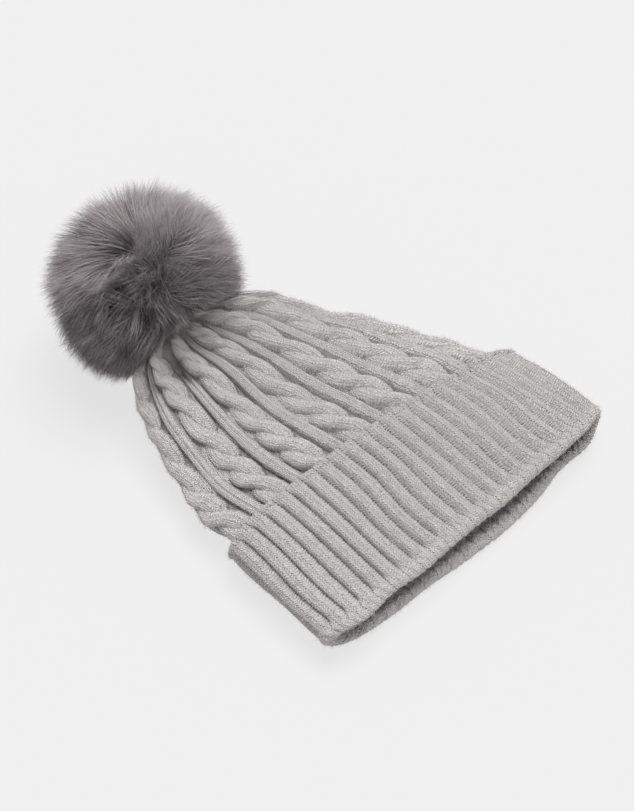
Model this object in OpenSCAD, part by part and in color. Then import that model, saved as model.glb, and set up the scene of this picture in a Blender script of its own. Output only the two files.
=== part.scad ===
// Cable-knit winter hat with a turned-up rib cuff and a fur pom held by a press
// stud. The hat lies on its back: the mouth faces -Y, the pom is at +Y, Z is up
// and Z = 0 is the surface it lies on. All sizes in millimetres.

/* [Cuff] */
// Width across the mouth, lying flat
mouth_w = 222; // [214:1:230]
// Width across the top edge of the turned-up cuff
hem_w = 212; // [206:1:216]
// Depth of the turned-up cuff
cuff_h = 81; // [76:1:84]
// Height of the cuff lying flat, both sides of it together
cuff_t = 35; // [32:0.5:38]
// Thickness of one layer of rib knit
rib_t = 4; // [3:0.25:4.5]
// How far the hem runs out of square to the mouth, to each side
hem_slant = 6; // [0:0.5:7]

/* [Crown] */
// Thickness of the cable knit
knit_t = 5; // [3.5:0.25:5.5]
// Width of the crown just above the cuff
crown_w = 188; // [182:1:192]
// How far the crown and pom lie over to one side, at the neck
sway = 30; // [0:1:32]
// Squareness of the flattened tube's cross-section
square = 2.5; // [2.2:0.1:3]

/* [Pom] */
// Diameter of the fur ball
pom_d = 115; // [108:1:120]
// Diameter of the drawn-up fur backing that the hair grows from
core_d = 45; // [43:1:46]
// Angle of the pom's axis above the surface
rise = 30; // [28:1:32]

/* [Press stud] */
// Diameter of the post
post_d = 4; // [3.5:0.25:4.5]
// Diameter of the flanges of the stud and socket
flange_d = 13; // [12:0.5:13]
// Diameter of the felt washer
felt_d = 17; // [16:0.5:17]

/* [Hidden] */

wool = [0.42, 0.40, 0.39];
wool_cuff = [0.44, 0.43, 0.41];
fur_c = [0.22, 0.19, 0.20];

// distances along the hat are measured from the mouth, then moved by y0
gap = 0.25;                 // half the gap between the front and the back
pom_r = pom_d / 2;
core_r = core_d / 2;
reach = 30;                 // neck pivot to the pom's centre
fur_cut = 10;               // the hair starts this far beyond the pivot
cut_d = reach - fur_cut;
pom_y = 232;
pom_z = cut_d * sin(rise) + sqrt(pom_r * pom_r - cut_d * cut_d) * cos(rise);
y0 = (pom_y + pom_r) / 2;
ax = [0, cos(rise), sin(rise)];
piv = [-sway, pom_y, pom_z] - reach * ax;

// Cross-sections of the crown: [distance, middle height, tilt, half width,
// half height, share of the sway]. The last three stand on the pom's axis.
function on_axis(w) = [piv[1] + w * ax[1], piv[2] + w * ax[2]];
rows = [
    [cuff_h - 1.9, cuff_t / 2, 0, crown_w / 2 + 4, cuff_t / 2 - rib_t - 0.8, 0.10],
    [104, 16.8, 0, crown_w / 2, 17.0, 0.28],
    [128, 17.4, 0, 86, 17.8, 0.43],
    [150, 18.4, 3, 77, 18.8, 0.52],
    [172, 20.8, 8, 66, 20.8, 0.62],
    [189, 27.0, 16, 54, 21.2, 0.78],
    [on_axis(-7)[0], on_axis(-7)[1], 27, 41, 18, 0.95],
    [on_axis(-1.5)[0], on_axis(-1.5)[1], 30, 27, 15.5, 1],
    [on_axis(2.5)[0], on_axis(2.5)[1], 30, 15, 12.5, 1]
];
last = len(rows) - 1;
split = 4;                  // the front layer ends at this row

function slope(i, c) =
    i <= 0 ? rows[1][c] - rows[0][c] :
    i >= last ? rows[last][c] - rows[last - 1][c] :
    (rows[i + 1][c] - rows[i - 1][c]) / 2;
function cubic(i, f, c) =
    let (p = rows[i][c], q = rows[i + 1][c], m = slope(i, c), n = slope(i + 1, c))
    p * (2 * f * f * f - 3 * f * f + 1) + m * (f * f * f - 2 * f * f + f)
    + q * (3 * f * f - 2 * f * f * f) + n * (f * f * f - f * f);
function at(s) =
    let (i = min(floor(s), last - 1), f = s - i)
    [for (c = [0:5]) cubic(i, f, c)];

// Superellipse, with the angle's quarter kept
function pw(v, e) = sign(v) * pow(abs(v), e);
function round_x(t) = pw(cos(t), 2 / square);
function round_z(t) = pw(sin(t), 2 / square);

// The hem runs slightly out of square, and that fades out along the crown,
// which lies over to one side
function lean(y) = y < cuff_h ? y / cuff_h : max(0, 1 - (y - cuff_h) / 60);
function lie(p, side) = [p[0] - sway * side, p[1] - y0 - hem_slant * lean(p[1]) * p[0] / 100, p[2]];

// A point of a layer: side +1 is the front (upper) half, -1 the back half,
// 0 the whole ring; k runs from 0 to 1 around it, off is the depth below the
// outer surface.
function around(side, k) = side == 0 ? 360 * k : side > 0 ? 180 * k : 180 + 180 * k;
function layer_point(c, side, k, off) =
    let (t = around(side, k),
         x = (c[3] - off) * round_x(t),
         zr = (c[4] - off) * round_z(t),
         z = side == 0 ? zr : side > 0 ? max(gap, zr) : min(-gap, zr),
         h = c[1] + z * cos(c[2]))
    lie([x, c[0] - z * sin(c[2]), max(h, off)], c[5]);

// Closes two grids of points, one over the other, into a shell. Row i, column
// j, with the rows running from the pom towards the mouth; wrap joins the last
// column to the first.
module shell(top, under, wrap = false) {
    n = len(top);
    m = len(top[0]);
    w = wrap ? m : m - 1;
    function a(i, j) = i * m + (j % m);
    function b(i, j) = n * m + i * m + (j % m);
    pts = concat([for (r = top) for (p = r) p], [for (r = under) for (p = r) p]);
    over = [for (i = [0:n - 2]) for (j = [0:w - 1])
        each [[a(i, j), a(i + 1, j), a(i + 1, j + 1)], [a(i, j), a(i + 1, j + 1), a(i, j + 1)]]];
    below = [for (i = [0:n - 2]) for (j = [0:w - 1])
        each [[b(i, j), b(i + 1, j + 1), b(i + 1, j)], [b(i, j), b(i, j + 1), b(i + 1, j + 1)]]];
    rim0 = [for (j = [0:w - 1])
        each [[a(0, j), a(0, j + 1), b(0, j + 1)], [a(0, j), b(0, j + 1), b(0, j)]]];
    rim1 = [for (j = [0:w - 1])
        each [[a(n - 1, j), b(n - 1, j + 1), a(n - 1, j + 1)], [a(n - 1, j), b(n - 1, j), b(n - 1, j + 1)]]];
    side0 = wrap ? [] : [for (i = [0:n - 2])
        each [[a(i, 0), b(i + 1, 0), a(i + 1, 0)], [a(i, 0), b(i, 0), b(i + 1, 0)]]];
    side1 = wrap ? [] : [for (i = [0:n - 2])
        each [[a(i, m - 1), a(i + 1, m - 1), b(i + 1, m - 1)], [a(i, m - 1), b(i + 1, m - 1), b(i, m - 1)]]];
    polyhedron(points = pts, faces = concat(over, below, rim0, rim1, side0, side1), convexity = 6);
}

// ---- knit ----

// The cuff's cross-section: the outer path runs from the hem down the outside,
// round the fold and up the inside; the inner path follows it a layer below.
two = 2 * rib_t + 0.6;
outer_path = concat(
    [for (i = [0:8]) [cuff_h - i * (cuff_h - 5) / 8, 0]],
    [[2.4, 0.5], [0.8, 1.7], [0, two / 2], [0.8, two - 1.7], [2.4, two - 0.5]],
    [for (i = [0:8]) [5 + i * (cuff_h - 7) / 8, two]]);
inner_path = concat(
    [for (i = [0:8]) [cuff_h - i * (cuff_h - 5) / 8, rib_t]],
    [for (i = [0:4]) [4.6, rib_t + 0.1 + i * 0.1]],
    [for (i = [0:8]) [5 + i * (cuff_h - 7) / 8, rib_t + 0.6]]);
function cuff_row(y) = [y, cuff_t / 2, 0,
    mouth_w / 2 + (hem_w - mouth_w) / 2 * y / cuff_h, cuff_t / 2 + 0.4, 0.10 * y / cuff_h];
module cuff_half(side) {
    m = 32;
    shell([for (q = outer_path) [for (j = [0:m]) layer_point(cuff_row(q[0]), side, j / m, q[1])]],
          [for (q = inner_path) [for (j = [0:m]) layer_point(cuff_row(q[0]), side, j / m, q[1])]]);
}
module cuff_front() { color(wool_cuff) cuff_half(1); }
module cuff_back() { color(wool_cuff) cuff_half(-1); }

// One layer of the crown, from under the hem to where it starts to bunch
module crown_half(side) {
    m = 32;
    st = [for (i = [20:-1:0]) i * (split - 0.012) / 20];
    shell([for (s = st) [for (j = [0:m]) layer_point(at(s), side, j / m, 0)]],
          [for (s = st) [for (j = [0:m]) layer_point(at(s), side, j / m, knit_t * min(1, 0.82 + s / 3))]]);
}
module crown_front() { color(wool) crown_half(1); }
module crown_back() { color(wool) crown_half(-1); }

// The bunched top: outer skin, end face, hole for the post, inner skin
module crown_top() {
    m = 48;
    st = [for (i = [14:-1:0]) split + i * (last - split) / 14];
    inn = [for (i = [11:-1:0]) split + i * 2.2 / 11];
    hole = 6;
    function disc_point(j, rx, rn, w) =
        let (t = 360 * j / m)
        [rx * cos(t) - sway, on_axis(w)[0] - y0 - rn * sin(t) * sin(rise), on_axis(w)[1] + rn * sin(t) * cos(rise)];
    outer = concat([[for (j = [0:m - 1]) disc_point(j, hole, hole, 2.5)]],
                   [for (s = st) [for (j = [0:m - 1]) layer_point(at(s), 0, j / m, 0)]]);
    inner = concat([for (q = [0:2]) [for (j = [0:m - 1]) disc_point(j, hole + 2 * q, hole + 1.2 * q, -2.5)]],
                   [[for (j = [0:m - 1]) disc_point(j, 18, 10, -2.6)]],
                   [for (s = inn) [for (j = [0:m - 1]) layer_point(at(s), 0, j / m, knit_t)]]);
    color(wool) shell(outer, inner, true);
}

// The yarn that closes the back of the tube, lying inside along the middle
module back_seam() {
    m = 8;
    r = 1.1;
    st = [for (i = [0:40]) i * (split - 0.06) / 40];
    function mid(s) = let (c = at(s), h = max(c[1] - (c[4] - knit_t) * cos(c[2]), knit_t))
        [0.8 * sin(s * 720) - sway * c[5], c[0] - y0 + (c[4] - knit_t) * sin(c[2]), h + r + 0.35];
    module ring_tube(path) {
        n = len(path);
        pts = [for (p = path) for (j = [0:m - 1]) p + r * [cos(360 * j / m), 0, sin(360 * j / m)]];
        faces = concat(
            [for (i = [0:n - 2]) for (j = [0:m - 1]) let (k = (j + 1) % m)
                each [[i * m + j, (i + 1) * m + k, (i + 1) * m + j], [i * m + j, i * m + k, (i + 1) * m + k]]],
            [[for (j = [m - 1:-1:0]) j]], [[for (j = [0:m - 1]) (n - 1) * m + j]]);
        polyhedron(points = pts, faces = faces, convexity = 4);
    }
    color(wool) ring_tube([for (s = st) mid(s)]);
}

// ---- neck, press stud and pom, all turned about the pom's axis ----

module at_neck() {
    translate([piv[0], piv[1] - y0, piv[2]]) rotate([rise - 90, 0, 0]) children();
}

// Drawn-up loop of yarn that closes the top of the crown
module gather_yarn() {
    color(wool) at_neck() translate([0, 0, -5.8]) rotate_extrude($fn = 64)
        translate([8.2, 0]) circle(r = 1.1, $fn = 24);
}

// Felt washer that backs the knit where the post goes through
felt_w = -11.6;
module felt_washer() {
    color([0.45, 0.44, 0.43]) at_neck() translate([0, 0, felt_w])
        difference() {
            cylinder(d = felt_d, h = 1.8, $fn = 64);
            translate([0, 0, -1]) cylinder(d = post_d + 0.1, h = 4, $fn = 64);
        }
}

// Rivet post with its flange on the inside
module stud_post() {
    color("silver") at_neck() rotate_extrude($fn = 64)
        polygon([[0, felt_w - 1.3], [flange_d / 2 - 0.4, felt_w - 1.3], [flange_d / 2, felt_w - 0.9],
                 [flange_d / 2, felt_w - 0.1], [post_d / 2, felt_w - 0.1], [post_d / 2, 5.6], [0, 5.6]]);
}

// Stud that the socket snaps on to
module stud_head() {
    color("silver") at_neck() rotate_extrude($fn = 64)
        polygon([[post_d / 2 + 0.02, 5.0], [flange_d / 2 - 0.5, 5.0], [flange_d / 2 - 0.5, 5.8], [2.7, 6.0],
                 [2.1 + post_d / 100, 7.4], [2.5, 8.2], [2.5, 8.9], [2.0, 9.5], [0, 9.5], [0, 5.7], [post_d / 2 + 0.02, 5.7]]);
}

// Socket, with the groove that its wire spring sits in
module socket_cup() {
    color("silver") at_neck() rotate_extrude($fn = 64)
        polygon([[3.1, 6.3], [flange_d / 2, 6.3], [flange_d / 2, 7.0], [5.0, 7.4], [5.0, 10.6], [0, 10.6], [0, 9.9],
                 [3.1, 9.9], [3.1, 8.0], [4.0, 8.0], [4.0, 6.9], [3.1, 6.9]]);
}
module socket_spring() {
    color("gray") at_neck() translate([0, 0, 7.45]) rotate_extrude($fn = 64)
        translate([3.35, 0]) circle(r = 0.4, $fn = 20);
}

// Plastic cap inside the bag, which the socket is riveted to
module socket_cap() {
    color("white") at_neck() rotate_extrude($fn = 64)
        polygon([[0, 10.7], [5.5, 10.7], [7.4, 10.9], [7.9, 11.3], [7.9, 11.9], [7.3, 12.5], [0, 13.0]]);
}

// Fur backing: a bag of cloth drawn up round the socket
module pom_backing() {
    n = 40;
    a0 = asin(8.4 / core_r);
    function arc(r, a) = [r * sin(a), reach - r * cos(a)];
    color([0.25, 0.23, 0.24]) at_neck() rotate_extrude($fn = 72)
        polygon(concat([for (i = [0:n]) arc(core_r, a0 + (180 - a0) * i / n)],
                       [for (i = [n:-1:0]) arc(core_r - 1.5, a0 + (180 - a0) * i / n)]));
}

// Fibre filling
module pom_filling() {
    color("white") at_neck() intersection() {
        translate([0, 0, reach]) sphere(r = core_r - 1.8, $fn = 72);
        translate([0, 0, 13.3]) cylinder(r = core_r, h = 2 * core_r, $fn = 72);
    }
}

// Thread that draws the bag's mouth together
module pom_thread() {
    color([0.3, 0.28, 0.29]) at_neck() translate([0, 0, 8.35]) rotate_extrude($fn = 64)
        translate([6.6, 0]) circle(r = 0.5, $fn = 16);
}

// The hair: a ball with room at the front for the neck of the hat
module pom_fur() {
    color(fur_c) at_neck() difference() {
        translate([0, 0, reach]) sphere(r = pom_r, $fn = 96);
        translate([0, 0, reach]) sphere(r = core_r + 0.3, $fn = 72);
        translate([0, 0, fur_cut - 100]) cylinder(r = 90, h = 100, $fn = 72);
    }
}

cuff_front();
cuff_back();
crown_front();
crown_back();
crown_top();
back_seam();
gather_yarn();
felt_washer();
stud_post();
stud_head();
socket_cup();
socket_spring();
socket_cap();
pom_backing();
pom_filling();
pom_thread();
pom_fur();
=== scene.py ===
import math

import bpy
import numpy as np
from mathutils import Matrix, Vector


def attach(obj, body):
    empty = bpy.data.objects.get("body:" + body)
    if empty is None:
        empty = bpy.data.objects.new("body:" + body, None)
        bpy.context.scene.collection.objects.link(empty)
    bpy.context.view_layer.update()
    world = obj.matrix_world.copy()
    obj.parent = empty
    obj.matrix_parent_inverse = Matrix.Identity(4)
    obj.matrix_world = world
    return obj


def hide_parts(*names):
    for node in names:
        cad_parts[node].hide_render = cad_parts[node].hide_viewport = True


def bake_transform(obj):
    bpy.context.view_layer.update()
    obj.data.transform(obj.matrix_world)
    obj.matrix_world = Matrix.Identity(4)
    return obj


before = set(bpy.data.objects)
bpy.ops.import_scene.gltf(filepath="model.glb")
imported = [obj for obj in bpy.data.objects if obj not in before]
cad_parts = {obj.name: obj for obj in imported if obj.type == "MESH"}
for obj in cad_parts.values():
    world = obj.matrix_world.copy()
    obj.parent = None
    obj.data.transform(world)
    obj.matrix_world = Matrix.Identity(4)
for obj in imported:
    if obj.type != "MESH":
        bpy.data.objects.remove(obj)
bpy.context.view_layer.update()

rng = np.random.default_rng(11)

# ---------------------------------------------------------------- the lying hat's shape, in mm, as in the CAD
MOUTH = 144.75
U = np.array([0.0, 0.8660254, 0.5])
PIVOT = np.array([-30.0, 61.269, 41.687])
POM = np.array([-30.0, 87.25, 56.687])
POM_R = 57.5
PY, PZ = PIVOT[1] + MOUTH, PIVOT[2]
ROWS = np.array([
    [76.5, 17.5, 0, 98, 12.7, 0.06],
    [104, 16.8, 0, 94, 17.0, 0.28],
    [128, 17.4, 0, 86, 17.8, 0.43],
    [150, 18.4, 3, 77, 18.8, 0.52],
    [172, 20.8, 8, 66, 20.8, 0.62],
    [189, 27.0, 16, 54, 21.2, 0.78],
    [PY - 7 * U[1], PZ - 7 * U[2], 27, 41, 18, 0.95],
    [PY - 1.5 * U[1], PZ - 1.5 * U[2], 30, 27, 15.5, 1.0],
    [PY + 2.5 * U[1], PZ + 2.5 * U[2], 30, 15, 12.5, 1.0],
])


def smooth(x, a=0.0, b=1.0):
    t = np.clip((np.asarray(x, float) - a) / (b - a), 0, 1)
    return t * t * (3 - 2 * t)


def row_at(s):
    """The six numbers of the crown's section at s, 0 at the cuff and 8 at the gathered end."""
    s = np.asarray(s, float)
    n = len(ROWS) - 1
    i = np.clip(np.floor(s).astype(int), 0, n - 1)
    f = (s - i)[..., None]
    slope = np.gradient(ROWS, axis=0)
    a, b, ma, mb = ROWS[i], ROWS[i + 1], slope[i], slope[i + 1]
    c = ((2 * f**3 - 3 * f**2 + 1) * a + (f**3 - 2 * f**2 + f) * ma
         + (3 * f**2 - 2 * f**3) * b + (f**3 - f**2) * mb)
    # under the cast-on edge the knit widens to join the cuff's inner layer
    c[..., 3] += 3.6 * (1 - smooth(s, 0.0, 0.20))
    c[..., 4] += 0.6 * (1 - smooth(s, 0.0, 0.20))
    return c


def cuff_row(y):
    y = np.asarray(y, float)
    return np.stack([y, 17.5 + 0 * y, 0 * y, CUFF_HALF - CUFF_TAPER * y / 81, 17.9 + 0 * y, -0.03 + 0.07 * y / 81], -1)


CUFF_HALF, CUFF_TAPER = 113.0, 6.5


def lean(y):
    return np.where(y < 81, y / 81, np.clip(1 - (y - 81) / 60, 0, None))


def rounded(c, t, off):
    """Point of a section: c its six numbers, t the angle, off how far inside the outer face."""
    cs, sn = np.cos(t), np.sin(t)
    x = (c[..., 3] - off) * np.sign(cs) * np.abs(cs) ** 0.8
    z = (c[..., 4] - off) * np.sign(sn) * np.abs(sn) ** 0.8
    tilt = np.radians(c[..., 2])
    y = c[..., 0] - z * np.sin(tilt)
    h = np.maximum(c[..., 1] + z * np.cos(tilt), np.maximum(off, 0.15))
    return np.stack([x - 30 * c[..., 5], y - MOUTH - 6 * lean(y) * x / 100, h], -1)


def spread(c, v, off=0.0):
    """Angles that give the shares v of the way round each section in c, measured along the knit. Also the way round in mm."""
    t = np.linspace(0, 2 * np.pi, 1441)
    out, around = [], []
    for k in range(len(c)):
        p = rounded(np.repeat(c[k][None], len(t), 0), t, off)
        step = np.r_[0, np.cumsum(np.linalg.norm(np.diff(p, axis=0), axis=1))]
        out.append(np.interp(v, step / step[-1], t))
        around.append(step[-1])
    return np.array(out), np.array(around)


def waves(v, y, seed, n, kmax, lmin, lmax):
    """A smooth field that closes on itself round the hat, about -1 to 1."""
    r = np.random.default_rng(seed)
    out = 0
    for _ in range(n):
        k = r.integers(0, kmax + 1)
        out = out + np.sin(2 * np.pi * (k * v + y / r.uniform(lmin, lmax) * r.choice([-1, 1])) + r.uniform(0, 6.28))
    return out / math.sqrt(n) / 1.2


# ---------------------------------------------------------------- meshes
def mesh_object(name, verts_mm, faces, attributes=()):
    me = bpy.data.meshes.new(name)
    me.from_pydata((np.asarray(verts_mm).reshape(-1, 3) / 1000).tolist(), [], faces)
    me.update()
    for key, kind, data in attributes:
        at = me.attributes.new(key, kind, "POINT")
        at.data.foreach_set("vector" if kind == "FLOAT_VECTOR" else "value", np.asarray(data, np.float32).ravel())
    me.polygons.foreach_set("use_smooth", np.ones(len(me.polygons), bool))
    ob = bpy.data.objects.new(name, me)
    bpy.context.scene.collection.objects.link(ob)
    return ob


def ring_faces(rows, cols, base=0, flip=False):
    r, c = np.meshgrid(np.arange(rows - 1), np.arange(cols), indexing="ij")
    c2 = (c + 1) % cols
    q = np.stack([r * cols + c, (r + 1) * cols + c, (r + 1) * cols + c2, r * cols + c2], -1).reshape(-1, 4) + base
    return (q[:, ::-1] if flip else q).tolist()


def grid_normals(p):
    """Outward normals of a grid of rows by columns that closes on itself along its columns."""
    dv = np.roll(p, -1, 1) - np.roll(p, 1, 1)
    ds = np.gradient(p, axis=0)
    n = np.cross(ds, dv)
    return n / np.maximum(np.linalg.norm(n, axis=2, keepdims=True), 1e-9)


# ---------------------------------------------------------------- crown: rope cables and cords between them
REPEATS = 13
CABLE_SHIFT = 0.05
CROSS = 25.0      # mm from one crossing to the next
STRAND, REACH = 0.205, 0.120   # half a strand's width and how far it swings, in shares of a repeat
CABLE_AT, CORD_AT = 0.335, 0.83   # middle of the cable and of the cord beside it


def per_repeat(idx, seed, low, high):
    return np.random.default_rng(seed).uniform(low, high, REPEATS)[idx]


def cable_field(v, length, s, width):
    """Height of the knit over the bottom of its grooves in mm, the stitch count across, and how far into a pleat this is."""
    drift = 0.008 * waves(v, length, 5, 6, 5, 60, 170)
    rep = v * REPEATS + CABLE_SHIFT + drift * REPEATS * 0.35
    idx = np.floor(rep).astype(int) % REPEATS
    u = rep - np.floor(rep)
    # near the gathers each cable stands up as a fold and the cord beside it sinks between two folds
    tight = smooth(s, 3.6, 7.4)
    u = u - tight * per_repeat(idx, 17, 0.25, 0.75) / (2 * np.pi) * np.sin(2 * np.pi * (u - CABLE_AT))
    sunk = (0.5 - 0.5 * np.cos(2 * np.pi * (u - CABLE_AT))) ** 1.6
    phase, lift = per_repeat(idx, 3, 0, 1), per_repeat(idx, 4, 0.86, 1.06)
    q = length / CROSS * (1 + 0.02 * np.sin(length / 17)) + phase
    p = q - np.floor(q)
    swing = -np.cos(np.pi * smooth(p, -0.05, 1.05))
    swing = swing / np.abs(np.cos(np.pi * smooth(0.0, -0.05, 1.05)))
    rise = np.sin(np.pi * p) ** 1.2
    squeeze = np.clip(width / 32.0, 0.45, 1)
    full = 4.9 * squeeze ** 0.5
    best = np.zeros_like(u)
    sx = (u - 0.5) * 14.0
    for side, bump in ((1, 1.7), (-1, -2.6)):
        d = (u - CABLE_AT - side * REACH * swing) / STRAND
        body = np.clip(1 - d**2, 0, 1)
        h = full * lift * body ** 0.45 + bump * rise * squeeze * body ** 0.3
        h = h - 0.10 * np.abs(np.cos(np.pi * d * 2.0)) ** 6 * (body > 0.05) * squeeze
        take = h > best
        best = np.where(take, h, best)
        sx = np.where(take, d * 2.0, sx)
    d = (u - CORD_AT) / 0.150
    body = np.clip(1 - d**2, 0, 1)
    h = 4.3 * squeeze ** 0.5 * body ** 0.42 - 0.95 * np.exp(-((d / 0.14) ** 2))
    take = h > best
    best = np.where(take, h, best)
    sx = np.where(take, d * 2.0 + 0.5, sx)
    sx = sx * (0.4 + 0.6 * squeeze)
    ridge = (0.5 + 0.5 * np.cos(2 * np.pi * (u - CABLE_AT))) ** 1.3
    best = best + 2.8 * ridge * smooth(s, 3.2, 5.2) * (1 - smooth(s, 6.0, 7.2))
    return best, sx, sunk * tight * (0.8 + 0.35 * waves(v, 0 * length, 24, 5, 6, 50, 90))


# where round the crown the deepest pleats are: place, width, depth in mm, where along it starts
PLEATS = [(0.060, 0.010, 4.5, 4.8), (0.130, 0.009, 3.0, 5.2), (0.198, 0.010, 4.5, 4.6), (0.264, 0.010, 5.0, 4.6),
          (0.370, 0.012, 11.0, 3.4), (0.470, 0.010, 4.0, 5.0), (0.56, 0.012, 4.5, 4.8),
          (0.66, 0.012, 4.0, 4.6), (0.75, 0.010, 4.0, 5.0), (0.86, 0.012, 4.5, 4.4), (0.94, 0.010, 3.5, 5.0)]


def crown_depth(v, length, s, width):
    """How far the knit's face lies inside the CAD's outer face, in mm."""
    h, sx, sunk = cable_field(v, length, s, width)
    soft = 0.9 * waves(v, length, 9, 7, 6, 40, 120)
    near = smooth(s, 4.2, 7.6)
    fold = 5.5 * sunk
    for centre, wide, deep, start in PLEATS:
        d = (v - centre + 0.5) % 1.0 - 0.5
        fold = fold + deep * np.exp(-((d / wide) ** 2)) * smooth(s, start, start + 2.0)
    sy = length / 1.65
    return 4.7 - h - soft * (1 - near) * smooth(s, 0, 0.8) + fold, sx, sy, h


def lining_depth(s, half_height):
    """How deep the knit's inner face lies, clear of the gather yarn and the press stud inside the neck."""
    return np.minimum(6.6 + 5.5 * smooth(s, 2.6, 4.2), half_height - 8.9 - 1.6 * smooth(s, 5.0, 5.8) + 4.5 * (1 - smooth(s, 0.8, 2.8)))


def build_crown():
    cols, rows = ((520, 168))
    # rows are spaced evenly along the knit
    s_dense = np.linspace(0, 8, 801)
    c_dense = row_at(s_dense)
    mid = np.stack([c_dense[:, 0], c_dense[:, 1]], 1)
    along = np.r_[0, np.cumsum(np.linalg.norm(np.diff(mid, axis=0), axis=1))]
    s_len = 76.5 + along + 0.35 * np.cumsum(np.r_[0, np.abs(np.diff(c_dense[:, 3]))])
    want = np.linspace(s_len[0], s_len[-1], rows)
    s = np.interp(want, s_len, s_dense)
    c = row_at(s)
    v = np.arange(cols) / cols
    t, around = spread(c, v)
    V, L = np.meshgrid(v, want)
    S = np.repeat(s[:, None], cols, 1)
    W = np.repeat((around / REPEATS)[:, None], cols, 1)
    depth, sx, sy, h = crown_depth(V, L, S, W)
    cc = np.repeat(c[:, None], cols, 1)
    # shallow under the cast-on edge, where the knit joins the cuff's inner layer
    lim = (np.repeat(lining_depth(s, c[:, 4])[:, None], cols, 1) - 0.9) * (0.15 + 0.85 * smooth(S, 0.02, 0.24))
    depth = np.where(depth > lim - 1.5, lim - 1.5 + 1.5 * np.tanh((depth - lim + 1.5) / 1.5), depth)
    outer = rounded(cc, t, depth)
    outer[..., 0] += 2.2 * np.exp(-(((S - 4.6) / 0.9) ** 2)) * smooth(np.cos(t), 0.1, 0.9)
    # the two faces of the lying hat sag a little between the folds at its sides
    top = smooth(outer[..., 2], 12, 26) * smooth(S, 0.2, 1.5) * (1 - smooth(S, 6.2, 7.4))
    outer[..., 2] -= top * (1.2 + 1.6 * waves(V, L, 21, 5, 4, 60, 140))
    # inside, coarser
    k = 4
    rows_in = 44
    s_in = np.interp(np.linspace(want[0], want[-1], rows_in), s_len, s_dense)
    c_in = row_at(s_in)
    v_in = v[::k]
    t_in, _ = spread(c_in, v_in)
    cols_in = len(v_in)
    V2, _ = np.meshgrid(v_in, s_in)
    off_in = np.repeat(lining_depth(s_in, c_in[:, 4])[:, None], cols_in, 1) + 0.3 * np.cos(2 * np.pi * V2 * REPEATS) * (1 - smooth(s_in, 3, 4))[:, None]
    inner = rounded(np.repeat(c_in[:, None], cols_in, 1), t_in, off_in)
    inner[..., 0] += 2.2 * np.exp(-(((s_in[:, None] - 4.6) / 0.9) ** 2)) * smooth(np.cos(t_in), 0.1, 0.9)
    verts = np.concatenate([outer.reshape(-1, 3), inner.reshape(-1, 3)])
    base = rows * cols
    faces = ring_faces(rows, cols) + ring_faces(rows_in, cols_in, base, flip=True)
    for i in range(cols_in):
        j = (i + 1) % cols_in
        o = [(i * k + a) % cols for a in range(k + 1)]
        faces.append([base + j, base + i] + o)                       # the end under the cuff
        last, lin = (rows - 1) * cols, base + (rows_in - 1) * cols_in
        faces.append([lin + i, lin + j] + [last + x for x in reversed(o)])
    # painted shade: lower on the grooves between cables and lower still down in the pleats, which darkens the colour
    # there
    painted_shade_level = (h - 0.7 * np.clip(depth - 4.6, 0, 8)) / 6.0     # darker down in the pleats
    knit = np.concatenate([np.stack([sx, sy, painted_shade_level], -1).reshape(-1, 3),
                           np.stack([V2 * REPEATS * 12, np.repeat(s_in[:, None], cols_in, 1) * 9, 0.45 + 0 * V2], -1).reshape(-1, 3)])
    ob = mesh_object("crown_knit", verts, faces, [("knit", "FLOAT_VECTOR", knit)])
    return ob, outer, h


# ---------------------------------------------------------------- cuff: one ribbed band turned up at the mouth
RIBS = 46


def rib_cut(v, y, seed=0):
    """How deep the groove between two ribs is here, 0 on a rib and 1 in the groove, and the stitch count across."""
    path = v * RIBS + 0.075 * waves(v, y, 31 + seed, 7, 9, 50, 140) * smooth(y, -5, 20)
    f = np.abs(path - np.round(path))          # 0 in the groove, 0.5 on the rib
    wide = 0.40 + 0.06 * np.sin(np.round(path) * 1.7)
    cut = np.clip(1 - f / wide, 0, 1) ** 1.9
    mid = np.exp(-(((0.5 - f) / 0.05) ** 2))
    return cut, path * 3.0, mid


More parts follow.
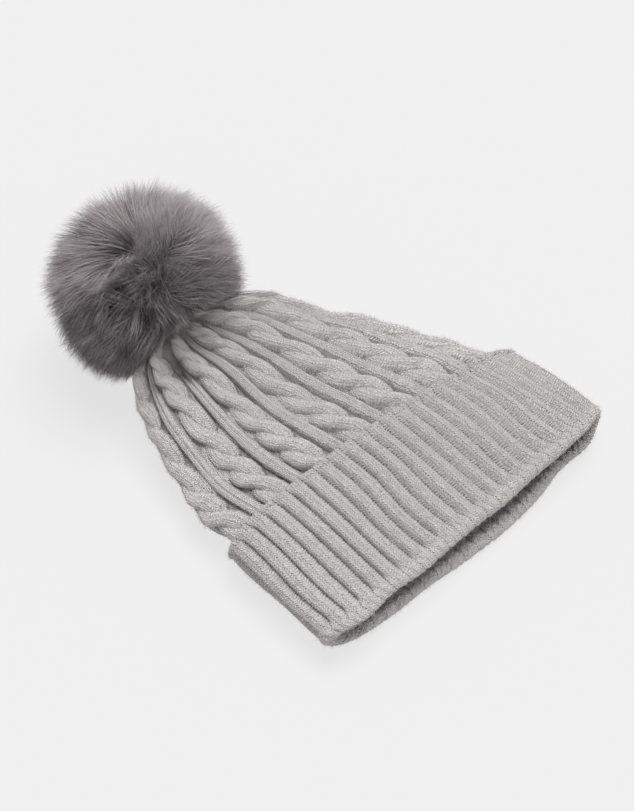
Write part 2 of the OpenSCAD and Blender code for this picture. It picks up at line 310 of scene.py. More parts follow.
def build_cuff():
    cols = 552
    fine = 0.95
    # the rolled cast-on edge
    roll = []
    for a in np.linspace(-75, 150, 11):        # from under the edge, over the outside, to its top
        roll.append((80.0 + 1.9 * math.cos(math.radians(a)), 1.25 - 1.9 * math.sin(math.radians(a)), 0.15, 1))
    face = [(y, 0.0, 1.0, 1) for y in np.arange(77.2, 6.0, -fine)]
    fold = []
    for a in np.linspace(0, 180, 21):
        fold.append((4.4 - 4.3 * math.sin(math.radians(a)), 4.3 - 4.3 * math.cos(math.radians(a)), 0.12, 1 if a < 90 else -1))
    inner = [(y, 8.6, 0.55, -1) for y in np.r_[np.arange(6.0, 34, 1.6), np.arange(34, 79.2, 6)]]
    slit = [(79.0, 6.6, 0, 0), (78.8, 4.8, 0, 0)] + [(y, 4.7, 0, 0) for y in (60, 40, 20, 8)] + [(6.2, 4.35, 0, 0)] + [(y, 4.0, 0, 0) for y in (8, 20, 40, 60, 72)] + [(78.2, 3.7, 0, 0)]
    a = np.array(roll + face + fold + inner + slit, float)   # y, offset, groove depth, side sign
    rows = len(a)
    v = np.arange(cols) / cols
    c = cuff_row(a[:, 0])
    t, around = spread(c, v)
    V, Y = np.meshgrid(v, a[:, 0])
    cut, sx, mid = rib_cut(V, Y)
    deep = 3.6 * np.repeat(a[:, 2][:, None], cols, 1) * (1 + 0.35 * smooth(np.cos(t), 0.1, 0.9))
    # ribs fade into the turned edge and the cast-on edge
    edge = np.repeat(((a[:, 3] > 0) * (a[:, 2] == 1.0))[:, None], cols, 1)
    fade = np.where(edge, smooth(Y, 5, 12) * 0.94 + 0.06, 1.0) * np.where(edge, 1 - 0.45 * smooth(Y, 74, 78), 1.0)
    side = np.repeat(a[:, 3][:, None], cols, 1)
    bumps = 0.35 * np.sin(2 * np.pi * V * RIBS * 2 + 0.8 * np.sin(Y)) * (np.repeat((a[:, 2] == 0.12)[:, None], cols, 1))
    off = np.repeat(a[:, 1][:, None], cols, 1) + side * (deep * fade * cut) + bumps
    off = off + 0.30 * mid * edge
    knots = (waves(V * 4, Y, 87, 10, 50, 2.8, 5.5) + 0.6 * np.sin(2 * np.pi * V * RIBS * 3) * np.sin(2 * np.pi * Y / 3.1)) * 0.90
    off = off + knots * np.repeat((a[:, 2] == 0.55) * 1.0 + ((a[:, 2] == 0.12) & (a[:, 3] < 0)) * 0.7 + ((a[:, 2] == 0.12) & (a[:, 3] > 0)) * 0.2, cols).reshape(rows, cols)
    swell = 0.55 * waves(V, Y, 77, 8, 14, 40, 120) * np.repeat((a[:, 3] > 0)[:, None], cols, 1) * (a[:, 2][:, None] > 0.2)
    off = off + swell
    outer = rounded(np.repeat(c[:, None], cols, 1), t, off)
    # the turned edge and the cast-on edge wander a little
    wander = 0.9 * waves(V, Y * 0, 41, 7, 12, 30, 60)
    outer[..., 1] += wander * (1 - smooth(Y, 0, 25)) + 0.7 * waves(V, Y * 0, 43, 7, 15, 30, 60) * smooth(Y, 60, 80)
    # corners of the lying cuff are rounder than the CAD's
    f = np.clip((np.abs(outer[..., 0] + 3 * Y / 81) - 70) / 42, 0, 1.2)
    outer[..., 1] += CORNER_MOUTH * f**2.2 * (1 - smooth(Y, 5, 45)) - CORNER_HEM * f**2.2 * smooth(Y, 45, 80)
    outer[..., 0] -= 5.0 * smooth(outer[..., 0], 84, 113) * (1 - smooth(Y, -8, 62))
    low = 1 - smooth(outer[..., 2], 6, 20)
    outer[..., 1] -= 4.6 * low * np.exp(-(((outer[..., 0] - 9) / 34) ** 2)) * (1 - smooth(Y, 0, 40))
    # lying on the table the upper face rests on the lower one, so it dips a little in the middle of the mouth
    up = smooth(outer[..., 2], 14, 30)
    dip = np.clip(1 - (outer[..., 0] / 100) ** 2, 0, 1)
    outer[..., 2] -= up * (MOUTH_DIP * dip * (1 - smooth(Y, 0, 60)) + 0.8 * waves(V, Y, 51, 5, 5, 60, 150))
    outer[..., 2] = np.maximum(outer[..., 2], 0.12)
    faces = ring_faces(rows, cols, flip=True)
    faces += [[(rows - 1) * cols + i, (rows - 1) * cols + (i + 1) % cols, (i + 1) % cols, i][::-1] for i in range(cols)]
    # painted shade: the knit attribute's third number is lower in the grooves between ribs, which darkens the colour
    # there; on the turned edge it rises above 1, which takes the painted shade lines away
    level = 1 - cut * np.repeat((a[:, 2] > 0)[:, None], cols, 1) * fade
    painted_shade_level = np.where(np.repeat((a[:, 2] == 0.12)[:, None], cols, 1), 1.3 - 0.35 * cut, level)
    knit = np.stack([sx, np.cumsum(np.r_[0, np.hypot(np.diff(a[:, 0]), np.diff(a[:, 1]))])[:, None] / 1.65 + 0 * V, painted_shade_level], -1)
    ob = mesh_object("cuff_knit", outer.reshape(-1, 3), faces, [("knit", "FLOAT_VECTOR", knit.reshape(-1, 3))])
    n_out = len(roll) + len(face) + len(fold) + 8
    return ob, outer[:n_out], level[:n_out]


CORNER_MOUTH, CORNER_HEM, MOUTH_DIP = 5.0, 5.0, 9.0


# ---------------------------------------------------------------- materials
def material(name):
    m = bpy.data.materials.new(name)
    m.use_nodes = True
    nt = m.node_tree
    bsdf = nt.nodes["Principled BSDF"]
    return m, nt, bsdf


class Maths:
    """Short way to write sums with shader nodes."""

    def __init__(self, nt):
        self.nt = nt

    def op(self, kind, *args):
        n = self.nt.nodes.new("ShaderNodeMath")
        n.operation = kind
        for i, a in enumerate(args):
            if isinstance(a, (int, float)):
                n.inputs[i].default_value = a
            else:
                self.nt.links.new(a, n.inputs[i])
        return n.outputs[0]

    def noise(self, vec, scale, detail=2.0, rough=0.5):
        n = self.nt.nodes.new("ShaderNodeTexNoise")
        n.inputs["Scale"].default_value = scale
        n.inputs["Detail"].default_value = detail
        n.inputs["Roughness"].default_value = rough
        self.nt.links.new(vec, n.inputs["Vector"])
        return n.outputs["Fac"]

    def ramp(self, fac, stops):
        n = self.nt.nodes.new("ShaderNodeValToRGB")
        el = n.color_ramp.elements
        while len(el) > 1:
            el.remove(el[-1])
        el[0].position, el[0].color = stops[0][0], (*stops[0][1], 1)
        for pos, col in stops[1:]:
            e = el.new(pos)
            e.color = (*col, 1)
        self.nt.links.new(fac, n.inputs[0])
        return n.outputs[0]


def knit_material(name, base, depth_dark=0.62, bump=1.0, stitch=0.0009, lines=1.0, groove=0.46):
    m, nt, bsdf = material(name)
    k = Maths(nt)
    att = nt.nodes.new("ShaderNodeAttribute")
    att.attribute_name = "knit"
    sep = nt.nodes.new("ShaderNodeSeparateXYZ")
    nt.links.new(att.outputs["Vector"], sep.inputs[0])
    tex = nt.nodes.new("ShaderNodeTexCoord")
    pos = tex.outputs["Object"]
    warp = k.noise(pos, 330, 2)
    warp2 = k.noise(pos, 190, 2)
    sx = k.op("ADD", sep.outputs[0], k.op("MULTIPLY", k.op("SUBTRACT", warp, 0.5), 0.75))
    sy = k.op("ADD", sep.outputs[1], k.op("MULTIPLY", k.op("SUBTRACT", warp2, 0.5), 1.1))
    a = k.op("ABSOLUTE", k.op("SUBTRACT", k.op("FRACT", sx), 0.5))
    b = k.op("FRACT", k.op("ADD", sy, k.op("MULTIPLY", a, 1.3)))
    leg = k.op("POWER", k.op("MAXIMUM", k.op("SINE", k.op("MULTIPLY", b, math.pi)), 0.0001), 0.7)
    across = k.op("POWER", k.op("MAXIMUM", k.op("SINE", k.op("MULTIPLY", a, 2 * math.pi)), 0.0001), 0.8)
    v_shape = k.op("MULTIPLY", leg, k.op("ADD", 0.3, k.op("MULTIPLY", across, 0.7)))
    fibre = k.noise(pos, 1500, 3, 0.65)
    grain = k.noise(pos, 620, 2, 0.6)
    blot = k.noise(pos, 38, 3, 0.5)
    # colour: melange flecks, with painted shade between stitches and in the grooves and painted light on the raised
    # stitch legs
    gap = k.op("POWER", k.op("MULTIPLY", a, 2.0), 5.0)
    dots = k.op("SINE", k.op("MULTIPLY", sy, 2 * math.pi))
    line = k.op("MULTIPLY", gap, k.op("ADD", 0.22 * lines, k.op("MULTIPLY", dots, 0.34 * lines)))
    # a level above 1 marks the turned edge, where the wales show no painted shade lines
    rim = k.op("MAXIMUM", k.op("SUBTRACT", 1.0, k.op("MULTIPLY", k.op("MAXIMUM", k.op("SUBTRACT", sep.outputs[2], 1.0), 0.0), 4.0)), 0.0)
    line = k.op("MULTIPLY", line, rim)
    # painted light on the raised legs of each V and painted shade in the gaps between wales, over the melange's own
    # grain, fibre and blot flecks
    shade = k.op("ADD", k.op("SUBTRACT", k.op("MULTIPLY", v_shape, 0.42), line), k.op("MULTIPLY", k.op("SUBTRACT", grain, 0.5), 0.62))
    shade = k.op("ADD", shade, k.op("MULTIPLY", k.op("SUBTRACT", fibre, 0.5), 0.35))
    shade = k.op("ADD", shade, k.op("MULTIPLY", k.op("SUBTRACT", blot, 0.5), 0.22))
    # painted shade: the knit attribute's third number, low in grooves and pleats, darkens the colour as strongly as
    # groove says
    level = k.op("SMOOTH_MIN", sep.outputs[2], 1.0, 0.2)
    shade = k.op("ADD", shade, k.op("MULTIPLY", k.op("SUBTRACT", level, 0.5), groove))
    dark = tuple(c * depth_dark for c in base)
    light = tuple(min(1, c * 1.13) for c in base)
    col = k.ramp(k.op("ADD", shade, 0.40), [(0.0, tuple(c * 0.42 for c in base)), (0.22, dark), (0.55, base), (1.0, light)])
    nt.links.new(col, bsdf.inputs["Base Color"])
    bsdf.inputs["Roughness"].default_value = 0.92
    bsdf.inputs["Specular IOR Level"].default_value = 0.18
    bsdf.inputs["Sheen Weight"].default_value = 0.22
    bsdf.inputs["Sheen Roughness"].default_value = 0.45
    hgt = k.op("ADD", k.op("SUBTRACT", k.op("MULTIPLY", v_shape, 0.75), k.op("MULTIPLY", line, 1.5)), k.op("MULTIPLY", fibre, 0.45))
    hgt = k.op("ADD", hgt, k.op("MULTIPLY", grain, 0.35))
    bn = nt.nodes.new("ShaderNodeBump")
    bn.inputs["Strength"].default_value = bump
    bn.inputs["Distance"].default_value = stitch
    nt.links.new(hgt, bn.inputs["Height"])
    nt.links.new(bn.outputs[0], bsdf.inputs["Normal"])
    return m


def plain(name, colour, rough=0.7, sheen=0.0, spec=0.3, metal=0.0):
    m, nt, bsdf = material(name)
    bsdf.inputs["Base Color"].default_value = (*colour, 1)
    bsdf.inputs["Roughness"].default_value = rough
    bsdf.inputs["Specular IOR Level"].default_value = spec
    bsdf.inputs["Sheen Weight"].default_value = sheen
    bsdf.inputs["Metallic"].default_value = metal
    return m


def grained(name, dark, light, scale, rough, bump_mm, metal=0.0, stretch=(1, 1, 1), detail=3.0):
    """Noise over two colours with a matching bump, for felt, yarn, stuffing, metal and moulded plastic."""
    m, nt, bsdf = material(name)
    k = Maths(nt)
    tex = nt.nodes.new("ShaderNodeTexCoord")
    mp = nt.nodes.new("ShaderNodeMapping")
    mp.inputs["Scale"].default_value = stretch
    nt.links.new(tex.outputs["Object"], mp.inputs["Vector"])
    n = k.noise(mp.outputs[0], scale, detail, 0.6)
    big = k.noise(mp.outputs[0], scale * 0.13, 2)
    mix = k.op("ADD", k.op("MULTIPLY", n, 0.75), k.op("MULTIPLY", big, 0.25))
    nt.links.new(k.ramp(mix, [(0.3, dark), (0.7, light)]), bsdf.inputs["Base Color"])
    bsdf.inputs["Roughness"].default_value = rough
    bsdf.inputs["Metallic"].default_value = metal
    bn = nt.nodes.new("ShaderNodeBump")
    bn.inputs["Strength"].default_value = 0.6
    bn.inputs["Distance"].default_value = bump_mm / 1000
    nt.links.new(n, bn.inputs["Height"])
    nt.links.new(bn.outputs[0], bsdf.inputs["Normal"])
    return m


KNIT = (0.556, 0.536, 0.516)
# the crown's copy of the same yarn is painted lighter than the cuff's: painted light that makes up for the shade in its
# deep cable grooves
m_crown = knit_material("crown_knit", tuple(c * 1.135 for c in KNIT), lines=0.55, groove=0.66)
m_cuff = knit_material("cuff_knit", tuple(c * 0.985 for c in KNIT), groove=0.60)

# ---------------------------------------------------------------- knit pieces
crown, crown_grid, crown_level = build_crown()
crown.data.materials.append(m_crown)
cuff, cuff_grid, cuff_level = build_cuff()
cuff.data.materials.append(m_cuff)


def open_share(ob):
    """Reads the positions of the points of ob; nothing is done with them."""
    co = np.zeros(len(ob.data.vertices) * 3, np.float32)
    ob.data.vertices.foreach_get("co", co)
    co = co.reshape(-1, 3)


# ---------------------------------------------------------------- fuzz that stands off the yarn
def fibres(name, grid, level, count, longest, width, mats, seed, bare=0):
    r = np.random.default_rng(seed)
    nrm = grid_normals(grid)
    rows, cols = grid.shape[:2]
    area = np.linalg.norm(np.cross(np.gradient(grid, axis=0), np.roll(grid, -1, 1) - grid), axis=2)
    area = area * (0.35 + level.clip(0, 1))
    area[:2] = 0
    area[-2:] = 0
    if bare:
        area[-bare:] = 0
    pick = r.choice(rows * cols, count, p=(area / area.sum()).ravel())
    i, j = pick // cols, pick % cols
    p0 = grid[i, j] + (r.random((count, 1))) * (np.roll(grid, -1, 1)[i, j] - grid[i, j])
    n = nrm[i, j]
    tangent = np.cross(n, r.normal(size=(count, 3)))
    tangent /= np.linalg.norm(tangent, axis=1, keepdims=True)
    bend = np.cross(n, tangent) * r.normal(0, 0.6, (count, 1))
    length = longest * (0.35 + 0.65 * r.random((count, 1)) ** 2)
    up = 0.25 + 0.85 * r.random((count, 1)) ** 1.6
    pts = []
    for tau in (0.0, 0.5, 1.0):
        q = p0 - n * 0.15 + length * (tangent * tau * 0.85 + n * up * (tau - 0.45 * tau**2) + bend * tau**2 * 0.5)
        q[:, 2] = np.maximum(q[:, 2], 0.1)
        pts.append(q)
    wd = np.cross(pts[1] - pts[0], n + r.normal(0, 0.4, (count, 3)))
    wd /= np.maximum(np.linalg.norm(wd, axis=1, keepdims=True), 1e-9)
    v = np.stack([pts[0] - wd * width / 2, pts[0] + wd * width / 2, pts[1] - wd * width / 2, pts[1] + wd * width / 2, pts[2]], 1)
    b = np.arange(count)[:, None] * 5
    quads = (b + np.array([0, 1, 3, 2])).tolist()
    tris = (b + np.array([2, 3, 4])).tolist()
    ob = mesh_object(name, v.reshape(-1, 3), quads + tris)
    for m in mats:
        ob.data.materials.append(m)
    tone = r.integers(0, len(mats), count)
    ob.data.polygons.foreach_set("material_index", np.r_[tone, tone].astype(np.int32))
    return ob


fuzz_mats = [plain("fuzz_light", (0.60, 0.58, 0.562), 0.9, 0.2), plain("fuzz_mid", (0.46, 0.445, 0.43), 0.9, 0.2), plain("fuzz_dark", (0.34, 0.33, 0.32), 0.9, 0.2)]
n_fuzz = 60000
crown_fuzz = fibres("crown_fuzz", crown_grid, crown_level / 6, n_fuzz, 4.6, 0.09, fuzz_mats, 61, bare=32)
cuff_fuzz = fibres("cuff_fuzz", cuff_grid[::-1], cuff_level[::-1], n_fuzz, 4.3, 0.09, fuzz_mats, 62)

for ob in (crown, cuff, crown_fuzz, cuff_fuzz):
    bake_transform(ob)
    open_share(ob)
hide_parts("crown_front", "crown_back", "crown_top")
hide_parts("cuff_front", "cuff_back")

# ---------------------------------------------------------------- camera
AZ, EL, DIST, FPX = math.radians(-44.89), math.radians(50.41), 1.2514, 2220.0
LOOK = Vector((-0.002945, -0.022804, 0.020))
cam_back = np.array([math.sin(AZ) * math.cos(EL), -math.cos(AZ) * math.cos(EL), math.sin(EL)])
cam_right = np.array([math.cos(AZ), math.sin(AZ), 0.0])
cam_up = np.cross(cam_back, cam_right)
cam_data = bpy.data.cameras.new("camera")
cam_data.sensor_fit = "VERTICAL"
cam_data.sensor_height = 36.0
cam_data.lens = FPX / 811 * 36
cam_data.clip_start, cam_data.clip_end = 0.01, 20
camera = bpy.data.objects.new("camera", cam_data)
bpy.context.scene.collection.objects.link(camera)
camera.location = LOOK + Vector(cam_back) * DIST
camera.rotation_euler = Vector(cam_back).to_track_quat("Z", "Y").to_euler()
bpy.context.scene.camera = camera

# ---------------------------------------------------------------- pom: fur cloth bag, a dark shell of painted shade deep in the fur, and long clumped hair
def unit(a):
    return a / np.maximum(np.linalg.norm(a, axis=-1, keepdims=True), 1e-9)


def ball_points(n, seed):
    k = np.arange(n) + 0.5
    z = 1 - 2 * k / n
    a = k * 2.399963
    p = np.stack([np.sqrt(1 - z * z) * np.cos(a), np.sqrt(1 - z * z) * np.sin(a), z], 1)
    return unit(p + np.random.default_rng(seed).normal(0, 0.9 / math.sqrt(n), (n, 3)))


def noise3(p, seed, n=10, freq=2.0):
    """A smooth field in space, about -1 to 1."""
    r = np.random.default_rng(seed)
    out = 0
    for _ in range(n):
        d = unit(r.normal(size=3)) * freq * r.uniform(0.6, 1.6)
        out = out + np.sin(p @ d + r.uniform(0, 6.28))
    return out / math.sqrt(n) * 1.2


HOLLOW = unit(cam_right * 19.0 - cam_up * 2.0 + cam_back * 54.0)
SHADE = unit(cam_right * 17.0 - cam_up * 13.0 + cam_back * 52.0)   # where the fur folds in over the gathers
PART_A = unit(-cam_right * 11.0 + cam_up * 17.0 + cam_back * 54.0)


LOWER_LEFT = unit(-cam_right * 0.9 - cam_up * 0.42)


def comb(n):
    """Which way the hair lies at each place on the ball, and how flat. It lies away from a parting between two places."""
    k = np.linspace(0, 1, 13)[:, None]
    line = unit(HOLLOW * (1 - k) + PART_A * k)
    near_line = n @ line.T
    weight = np.exp((near_line - near_line.max(1, keepdims=True)) * 60)
    source = unit(weight @ line)
    away = unit((n * source).sum(1)[:, None] * n - source)
    from_line = np.arccos(np.clip(near_line.max(1), -1, 1))[:, None]
    near = near_line.max(1)
    a = noise3(n, 71, 10, 4.2)[:, None]
    t = away * smooth(from_line, 0.02, 0.75) + 0.30 * np.cross(HOLLOW, n) + 0.45 * np.cross(n, away) * a * smooth(from_line, 0.0, 0.5)
    t = t + (0.30 + 0.50 * np.exp(-(np.arccos(np.clip(n @ SHADE, -1, 1)) / 0.55) ** 2))[:, None] * np.stack([noise3(n, 72 + k, 12, 16.0) for k in range(3)], 1)
    t = t - 0.25 * U * (1 - smooth(n @ U, -0.5, 0.2))[:, None]
    t = t - (t * n).sum(1)[:, None] * n
    flat = 0.42 + 0.30 * smooth(from_line[:, 0], 0.1, 0.7) * smooth(near, -0.2, 0.6) + 0.20 * noise3(n, 79, 8, 6.0)
    return unit(t), flat


def dent(n):
    """1 in the hollow and along the parting, 0 elsewhere."""
    k = np.linspace(0, 1, 13)[:, None]
    line = unit(HOLLOW * (1 - k) + PART_A * k)
    hole = np.exp(-(np.arccos(np.clip(n @ HOLLOW, -1, 1)) / 0.26) ** 2)
    part = np.exp(-(np.arccos(np.clip((n @ line.T).max(1), -1, 1)) / 0.09) ** 2)
    return hole, part


def hair(name, count, seed, inner_r, outer_r, mats, clumps, clump_hold, wide, tones):
    r = np.random.default_rng(seed)
    n = ball_points(count, seed)
    keep = n @ U > -0.90
    n = n[keep]
    count = len(n)
    centres = ball_points(clumps, seed + 1)
    from mathutils.kdtree import KDTree
    tree = KDTree(len(centres))
    for i, q in enumerate(centres):
        tree.insert(q, i)
    tree.balance()
    warped = unit(n + 0.05 * r.normal(size=n.shape) * 0.5)
    who = np.array([tree.find(q)[1] for q in warped])
    ct, cflat = comb(centres)
    ct = unit(ct + r.normal(0, 1, ct.shape) * (0.30 + 0.45 * np.exp(-(np.arccos(np.clip(centres @ HOLLOW, -1, 1)) / 0.5) ** 2))[:, None])
    cflat = cflat * r.uniform(0.75, 1.25, len(cflat))
    crad = r.normal(0, 0.030, len(centres)) * (1 + 1.3 * np.exp(-(np.arccos(np.clip(centres @ SHADE, -1, 1)) / 0.6) ** 2))
    t, flat = comb(n)
    t = unit(t * (1 - 0.75) + ct[who] * 0.75 + r.normal(0, 0.10, n.shape))
    flat = flat * 0.4 + cflat[who] * 0.6
    c = centres[who]
    dirs, pts = [], []
    taus = (0.0, 0.28, 0.55, 0.8, 1.0)
    ends = unit(n * (1 - clump_hold) + c * clump_hold + t * flat[:, None])
    hole, part = dent(ends)
    end_r = outer_r * (1 + crad[who] + r.normal(0, 0.014, count) - 0.24 * r.random(count) ** 2) * (1 - 0.15 * hole - 0.05 * part) * (1 + 0.055 * np.clip(ends @ cam_up, 0, 1) + 0.055 * np.clip(ends @ LOWER_LEFT, 0, 1) ** 2)
    wisp = r.random(count) < 0.03
    end_r = np.where(wisp, end_r * 1.035, end_r)
    for tau in taus:
        hold = clump_hold * tau**1.4
        root = n * (1 - hold) + c * hold
        d = unit(root + t * (flat * tau**1.15)[:, None] + r.normal(0, 0.012, n.shape) * tau)
        rad = inner_r + (end_r - inner_r) * (tau**0.88)
        # the neck side ends on a flat, where the fur meets the crown
        du = d @ U
        flare = np.sqrt(np.maximum(1 - du * du, 0))
        floor_w = np.where(rad * flare < 20, 2.5, 2.5 - 9.5 * smooth(rad * flare, 20, 46))
        most = np.where(du < -0.02, (30.0 - floor_w) / np.maximum(-du, 0.02), 999)
        rad = np.minimum(rad, most)
        q = POM + d * rad[:, None]
        q[:, 2] = np.maximum(q[:, 2], 0.15 )
        pts.append(q)
    pts = np.stack(pts, 1)
    out = unit(pts - POM) + r.normal(0, 0.42, (count, 1, 3))
    tan = unit(np.gradient(pts, axis=1))
    wd = unit(np.cross(tan, out))
    shape = np.array([1.0, 1.0, 0.85, 0.6, 0.0])
    w = wide * shape[None, :, None] * r.uniform(0.7, 1.3, (count, 1, 1))
    left, right = pts - wd * w / 2, pts + wd * w / 2
    v = np.stack([left[:, 0], right[:, 0], left[:, 1], right[:, 1], left[:, 2], right[:, 2], left[:, 3], right[:, 3], pts[:, 4]], 1)
    b = np.arange(count)[:, None] * 9
    faces = []
    for q in ([0, 1, 3, 2], [2, 3, 5, 4], [4, 5, 7, 6]):
        faces += (b + np.array(q)).tolist()
    faces += (b + np.array([6, 7, 8])).tolist()
    ob = mesh_object(name, v.reshape(-1, 3), faces)
    for m in mats:
        ob.data.materials.append(m)
    clump_tone = r.normal(0, 0.75, len(centres))[who] + 0.9 * noise3(n, 91, 10, 6.0)
    strand_tone = r.normal(0, 0.95, count)
    shady = np.exp(-(np.arccos(np.clip(ends @ SHADE, -1, 1)) / 0.52) ** 2)
    # painted light and shade: hair whose tips face up is lighter; hair in the hollow, in the SHADE region and on the
    # underside by the crown is darker, and its clumps in the SHADE region differ more
    lift = 1.9 * (ends @ unit(cam_up + 0.2 * cam_right)) + 0.15 - 0.9 * hole
    lift = lift - 1.1 * shady - 1.2 * smooth(-(ends @ U), 0.1, 0.5) + shady * 2.6 * r.normal(0, 1, len(centres))[who]
    # each strand's segments run from dark tones at the root to light at the tip: painted shade deep in the fur
    idx = [np.clip(np.round(base + clump_tone + strand_tone + lift), 0, len(mats) - 1) for base in tones]
    ob.data.polygons.foreach_set("material_index", np.concatenate(idx).astype(np.int32))
    return ob


def fur_colour(k):
    lo, hi = np.array([0.035, 0.028, 0.031]), np.array([0.47, 0.425, 0.437])
    return tuple(lo + (hi - lo) * (k ** 1.25))


fur_mats = [plain("fur_tone_%d" % i, fur_colour(i / 8), 0.62, 0.25, 0.25) for i in range(9)]
per = 25000
sets = 4
for i in range(sets):
    piece = hair("pom_hair_" + "abcd"[i], per, 101 + 7 * i, 25.0, POM_R * 0.985, fur_mats, 760, 0.62, 0.215, (1.9, 3.1, 4.6, 6.3))
    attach(piece, "pom")
    if i == 0:
        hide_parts("pom_fur")


# a dark shell deep inside the hair, coloured as painted shade of the fur's depths; it also keeps one from seeing
# through the hair
def build_fur_shade_shell():
    lat, lon = ((90, 180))
    th = np.linspace(0.0, math.pi * 0.80, lat)
    ph = np.arange(lon) / lon * 2 * np.pi
    e1 = np.array([1.0, 0, 0])
    e2 = np.cross(U, e1)
    T, Ph = np.meshgrid(th, ph, indexing="ij")
    d = np.cos(T)[..., None] * U + np.sin(T)[..., None] * (np.cos(Ph)[..., None] * e1 + np.sin(Ph)[..., None] * e2)
    n = d.reshape(-1, 3)
    rad = 31.5 + 1.6 * noise3(n, 5, 12, 9.0) + 0.8 * noise3(n, 6, 12, 22.0)
    du = n @ U
    rad = np.where(du < -0.2, np.minimum(rad, 19.0 / np.maximum(-du, 0.2)), rad)
    p = POM + n * rad[:, None]
    inner = POM + n * np.maximum(rad * 0.8, 23.3)[:, None]
    verts = np.concatenate([p, inner])
    faces = ring_faces(lat, lon) + ring_faces(lat, lon, lat * lon, flip=True)
    last = (lat - 1) * lon
    for j in range(lon):
        k = (j + 1) % lon
        faces.append([last + j, last + k, lat * lon + last + k, lat * lon + last + j][::-1])
    ob = mesh_object("pom_fur_shade_shell", verts, faces)
    return ob


def build_bag():
    """The round of fur cloth that the hair grows from, drawn up into a stuffed bag with gathers round its mouth."""
    lat, lon = 64, 120
    th = np.linspace(0.02, math.pi - 0.36, lat)
    ph = np.arange(lon) / lon * 2 * np.pi
    e1 = np.array([1.0, 0, 0])
    e2 = np.cross(U, e1)
    T, Ph = np.meshgrid(th, ph, indexing="ij")
    n = np.cos(T)[..., None] * U + np.sin(T)[..., None] * (np.cos(Ph)[..., None] * e1 + np.sin(Ph)[..., None] * e2)
    near = smooth(T, 1.7, 2.7)
    rad = 22.4 - near * (0.9 + 0.9 * np.cos(Ph * 15 + 0.8 * np.sin(Ph * 4))) - 0.25 * noise3(n.reshape(-1, 3), 8, 10, 9.0).reshape(T.shape)
    outer = (POM + n * rad[..., None]).reshape(-1, 3)
    inner = (POM + n * 20.1).reshape(-1, 3)
    faces = ring_faces(lat, lon) + ring_faces(lat, lon, lat * lon, flip=True)
    last, base = (lat - 1) * lon, lat * lon
    for j in range(lon):
        k = (j + 1) % lon
        faces.append([last + j, base + last + j, base + last + k, last + k])
    faces.append([j for j in range(lon)])
    faces.append([base + j for j in range(lon)][::-1])
    return mesh_object("pom_bag", np.concatenate([outer, inner]), faces)


under = build_fur_shade_shell()
under.data.materials.append(grained("fur_shade_shell", (0.022, 0.018, 0.020), (0.085, 0.072, 0.076), 420, 0.9, 1.2, stretch=(1, 1, 1)))
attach(under, "pom")

bag = build_bag()
bag.data.materials.append(grained("fur_cloth", (0.10, 0.088, 0.092), (0.20, 0.18, 0.185), 800, 0.95, 0.3, stretch=(1, 1, 2)))
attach(bag, "pom")
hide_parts("pom_backing")

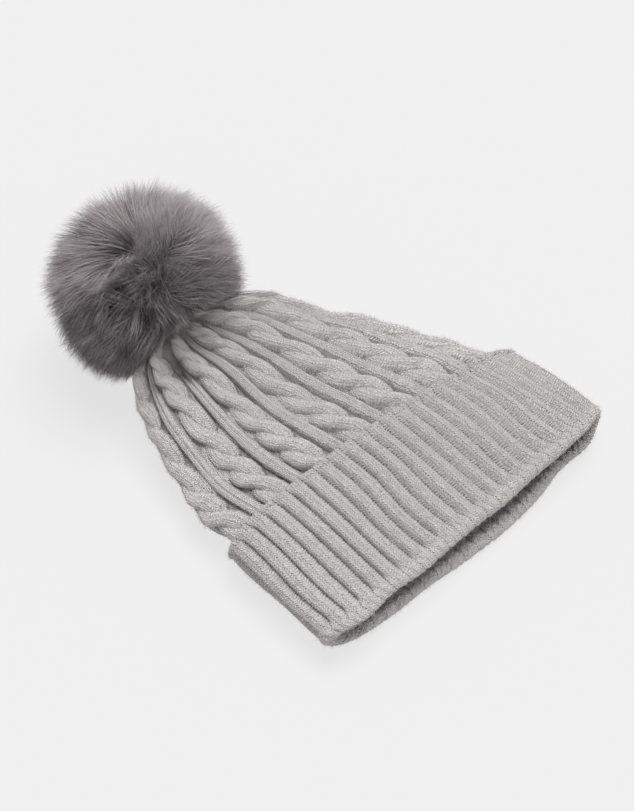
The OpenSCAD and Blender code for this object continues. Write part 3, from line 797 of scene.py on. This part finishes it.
# ---------------------------------------------------------------- the parts inside keep the CAD's shape
inside = {
    "back_seam": grained("seam_yarn", (0.36, 0.345, 0.33), (0.52, 0.50, 0.48), 900, 0.9, 0.3),
    "gather_yarn": grained("gather_yarn", (0.36, 0.345, 0.33), (0.52, 0.50, 0.48), 900, 0.9, 0.3),
    "felt_washer": grained("felt", (0.30, 0.29, 0.28), (0.44, 0.43, 0.42), 700, 0.95, 0.25),
    "stud_post": grained("stud_metal", (0.55, 0.54, 0.52), (0.68, 0.67, 0.65), 300, 0.32, 0.02, metal=1.0, stretch=(1, 1, 8)),
    "stud_head": grained("stud_metal_head", (0.55, 0.54, 0.52), (0.68, 0.67, 0.65), 300, 0.28, 0.02, metal=1.0, stretch=(1, 1, 8)),
    "socket_cup": grained("socket_metal", (0.52, 0.51, 0.49), (0.66, 0.65, 0.63), 300, 0.30, 0.02, metal=1.0),
    "socket_spring": grained("spring_metal", (0.50, 0.49, 0.47), (0.62, 0.61, 0.60), 500, 0.25, 0.01, metal=1.0),
    "socket_cap": grained("cap_plastic", (0.60, 0.59, 0.57), (0.68, 0.67, 0.65), 200, 0.45, 0.03),
    "pom_filling": grained("stuffing", (0.72, 0.71, 0.69), (0.86, 0.85, 0.83), 160, 0.95, 1.0),
    "pom_thread": grained("thread", (0.22, 0.20, 0.205), (0.34, 0.31, 0.32), 1200, 0.8, 0.1),
}
for node, mat in inside.items():
    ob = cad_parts[node]
    ob.data.materials.clear()
    ob.data.materials.append(mat)

# ---------------------------------------------------------------- floor and light
floor_mesh = bpy.data.meshes.new("floor")
floor_mesh.from_pydata([(-6, -6, 0), (6, -6, 0), (6, 6, 0), (-6, 6, 0)], [], [[0, 1, 2, 3]])
floor = bpy.data.objects.new("floor", floor_mesh)
bpy.context.scene.collection.objects.link(floor)
floor_look = plain("floor", (0.12, 0.12, 0.12), 0.9, 0.0, 0.0)
floor_look.node_tree.nodes["Principled BSDF"].inputs["Emission Color"].default_value = (1, 1, 1, 1)
floor_look.node_tree.nodes["Principled BSDF"].inputs["Emission Strength"].default_value = 0.720
floor_mesh.materials.append(floor_look)

world = bpy.data.worlds.new("world")
bpy.context.scene.world = world
world.use_nodes = True
world.node_tree.nodes["Background"].inputs[0].default_value = (1.0, 1.0, 1.0, 1)
wn = world.node_tree
w_tex, w_sep, w_map = wn.nodes.new("ShaderNodeTexCoord"), wn.nodes.new("ShaderNodeSeparateXYZ"), wn.nodes.new("ShaderNodeMapRange")
wn.links.new(w_tex.outputs["Generated"], w_sep.inputs[0])
wn.links.new(w_sep.outputs[2], w_map.inputs["Value"])
for key, val in (("From Min", 0.02), ("From Max", 0.40), ("To Min", 0.865), ("To Max", 0.42)):
    w_map.inputs[key].default_value = val
wn.links.new(w_map.outputs[0], wn.nodes["Background"].inputs[1])

sun = bpy.data.lights.new("key", "SUN")
sun.energy = 2.75
sun.angle = math.radians(42)
sun_ob = bpy.data.objects.new("key", sun)
bpy.context.scene.collection.objects.link(sun_ob)
sun_dir = Vector((0.30, 0.06, 1.0)).normalized()
sun_ob.rotation_euler = sun_dir.to_track_quat("Z", "Y").to_euler()

scene = bpy.context.scene
scene.view_settings.view_transform = "Standard"
scene.view_settings.look = "None"
scene.view_settings.exposure = 0.0
